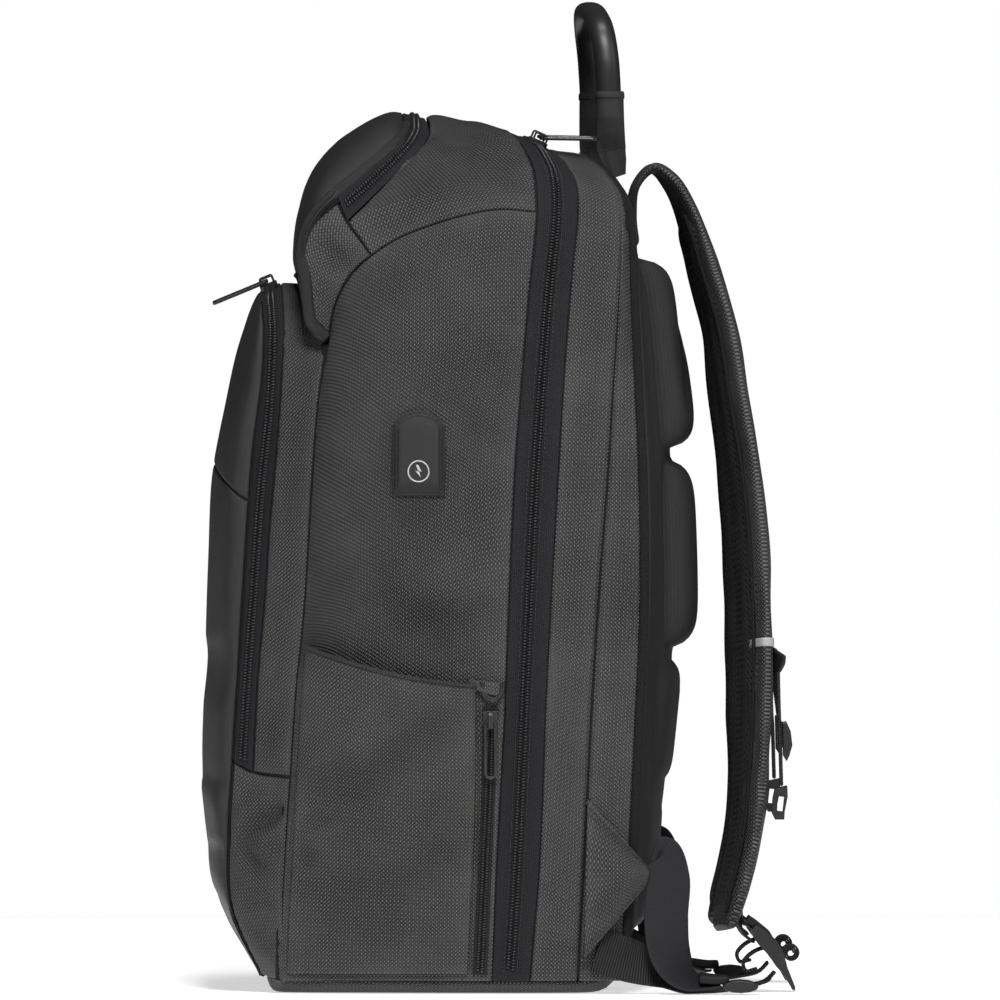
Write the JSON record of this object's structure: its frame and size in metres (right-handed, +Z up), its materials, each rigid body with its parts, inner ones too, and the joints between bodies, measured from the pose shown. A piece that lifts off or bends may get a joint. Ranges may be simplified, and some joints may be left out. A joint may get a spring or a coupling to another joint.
{
  "type": "laptop backpack",
  "caption": "Upright laptop backpack with hood, zipped front pocket, side pockets, padded mesh shoulder straps, waist and sternum straps and a moulded carry handle.",
  "frame": {"origin": "centre of the flat base that the pack stands on", "axes": "+Z up, -Y the pack's front, +Y the side worn against the back, +X the wearer's right"},
  "size_m": [0.3504, 0.3328, 0.5579],
  "materials": {
    "coated_cloth": "coarse coated weave, semi-matt",
    "smooth_cloth": "smooth satin weave",
    "zip_tape": "matt knitted tape",
    "air_mesh": "open spacer mesh",
    "ribbed_webbing": "ribbed webbing",
    "smooth_webbing": "smooth woven belt",
    "black_plastic": "satin moulded",
    "handle_rubber": "satin",
    "dark_metal": "black plated"
  },
  "bodies": {
    "pack": {"back_board": "air_mesh", "back_padding": "air_mesh", "base_panel": "coated_cloth", "front_gusset": "coated_cloth", "front_panel_lower": "smooth_cloth", "front_panel_upper": "smooth_cloth", "handle_grip": "handle_rubber", "handle_sleeve_left": "ribbed_webbing", "handle_sleeve_right": "ribbed_webbing", "hood_front": "smooth_cloth", "hood_side_left": "coated_cloth", "hood_side_right": "coated_cloth", "hood_top": "coated_cloth", "hood_zip_tape": "zip_tape", "ladder_lock_left": "black_plastic", "ladder_lock_right": "black_plastic", "low_web_left": "ribbed_webbing", "low_web_right": "ribbed_webbing", "main_zip_far_slider": "dark_metal", "main_zip_near_slider": "dark_metal", "main_zip_tape": "zip_tape", "pocket_low_side_left": "coated_cloth", "pocket_low_side_right": "coated_cloth", "pocket_zip_far_slider": "dark_metal", "pocket_zip_near_slider": "dark_metal", "pocket_zip_tape": "zip_tape", "rear_strip": "coated_cloth", "rear_wedge": "coated_cloth", "shoulder_strap_left": "coated_cloth", "shoulder_strap_right": "coated_cloth", "side_panel_left": "coated_cloth", "side_panel_right": "coated_cloth", "side_pocket_left": "coated_cloth", "side_pocket_right": "coated_cloth", "side_zip_garage_left": "coated_cloth", "side_zip_garage_right": "coated_cloth", "side_zip_right_slider": "dark_metal", "side_zip_tape_left": "zip_tape", "side_zip_tape_right": "zip_tape", "sternum_buckle_left": "black_plastic", "sternum_buckle_right": "black_plastic", "sternum_glide_left": "black_plastic", "sternum_glide_right": "black_plastic", "sternum_web_left": "ribbed_webbing", "sternum_web_right": "ribbed_webbing", "strap_mesh_left": "air_mesh", "strap_mesh_right": "air_mesh", "usb_flap": "smooth_cloth", "waist_belt_left": "smooth_webbing", "waist_belt_right": "smooth_webbing", "waist_buckle_left": "black_plastic", "waist_buckle_right": "black_plastic", "wing_left": "coated_cloth", "wing_right": "coated_cloth"},
    "pocket_zip_near_puller_body": {"pocket_zip_near_puller": "dark_metal"},
    "pocket_zip_far_puller_body": {"pocket_zip_far_puller": "dark_metal"},
    "main_zip_near_puller_body": {"main_zip_near_puller": "dark_metal"},
    "main_zip_far_puller_body": {"main_zip_far_puller": "dark_metal"},
    "side_zip_right_puller_body": {"side_zip_right_puller": "dark_metal"}
  },
  "joints": [
    {"name": "pocket_zip_near_puller_swing", "type": "hinge", "parent": "pack", "child": "pocket_zip_near_puller_body", "pos_m": [0.04813, -0.08565, 0.39933], "axis": [-0.9981, 0, 0.0622], "range_deg": [0, 115]},
    {"name": "pocket_zip_far_puller_swing", "type": "hinge", "parent": "pack", "child": "pocket_zip_far_puller_body", "pos_m": [0.036, -0.08569, 0.39991], "axis": [-0.9993, 0, 0.0387], "range_deg": [0, 115]},
    {"name": "main_zip_near_puller_swing", "type": "hinge", "parent": "pack", "child": "main_zip_near_puller_body", "pos_m": [0.08073, 0.0685, 0.47992], "axis": [0.9985, 0, -0.0551], "range_deg": [0, 135]},
    {"name": "main_zip_far_puller_swing", "type": "hinge", "parent": "pack", "child": "main_zip_far_puller_body", "pos_m": [0.06939, 0.06731, 0.48099], "axis": [0.9988, 0, -0.0491], "range_deg": [0, 135]},
    {"name": "side_zip_right_puller_swing", "type": "hinge", "parent": "pack", "child": "side_zip_right_puller_body", "pos_m": [0.16684, 0.03956, 0.15371], "axis": [0.0223, -0.9998, 0], "range_deg": [0, 160]}
  ]
}
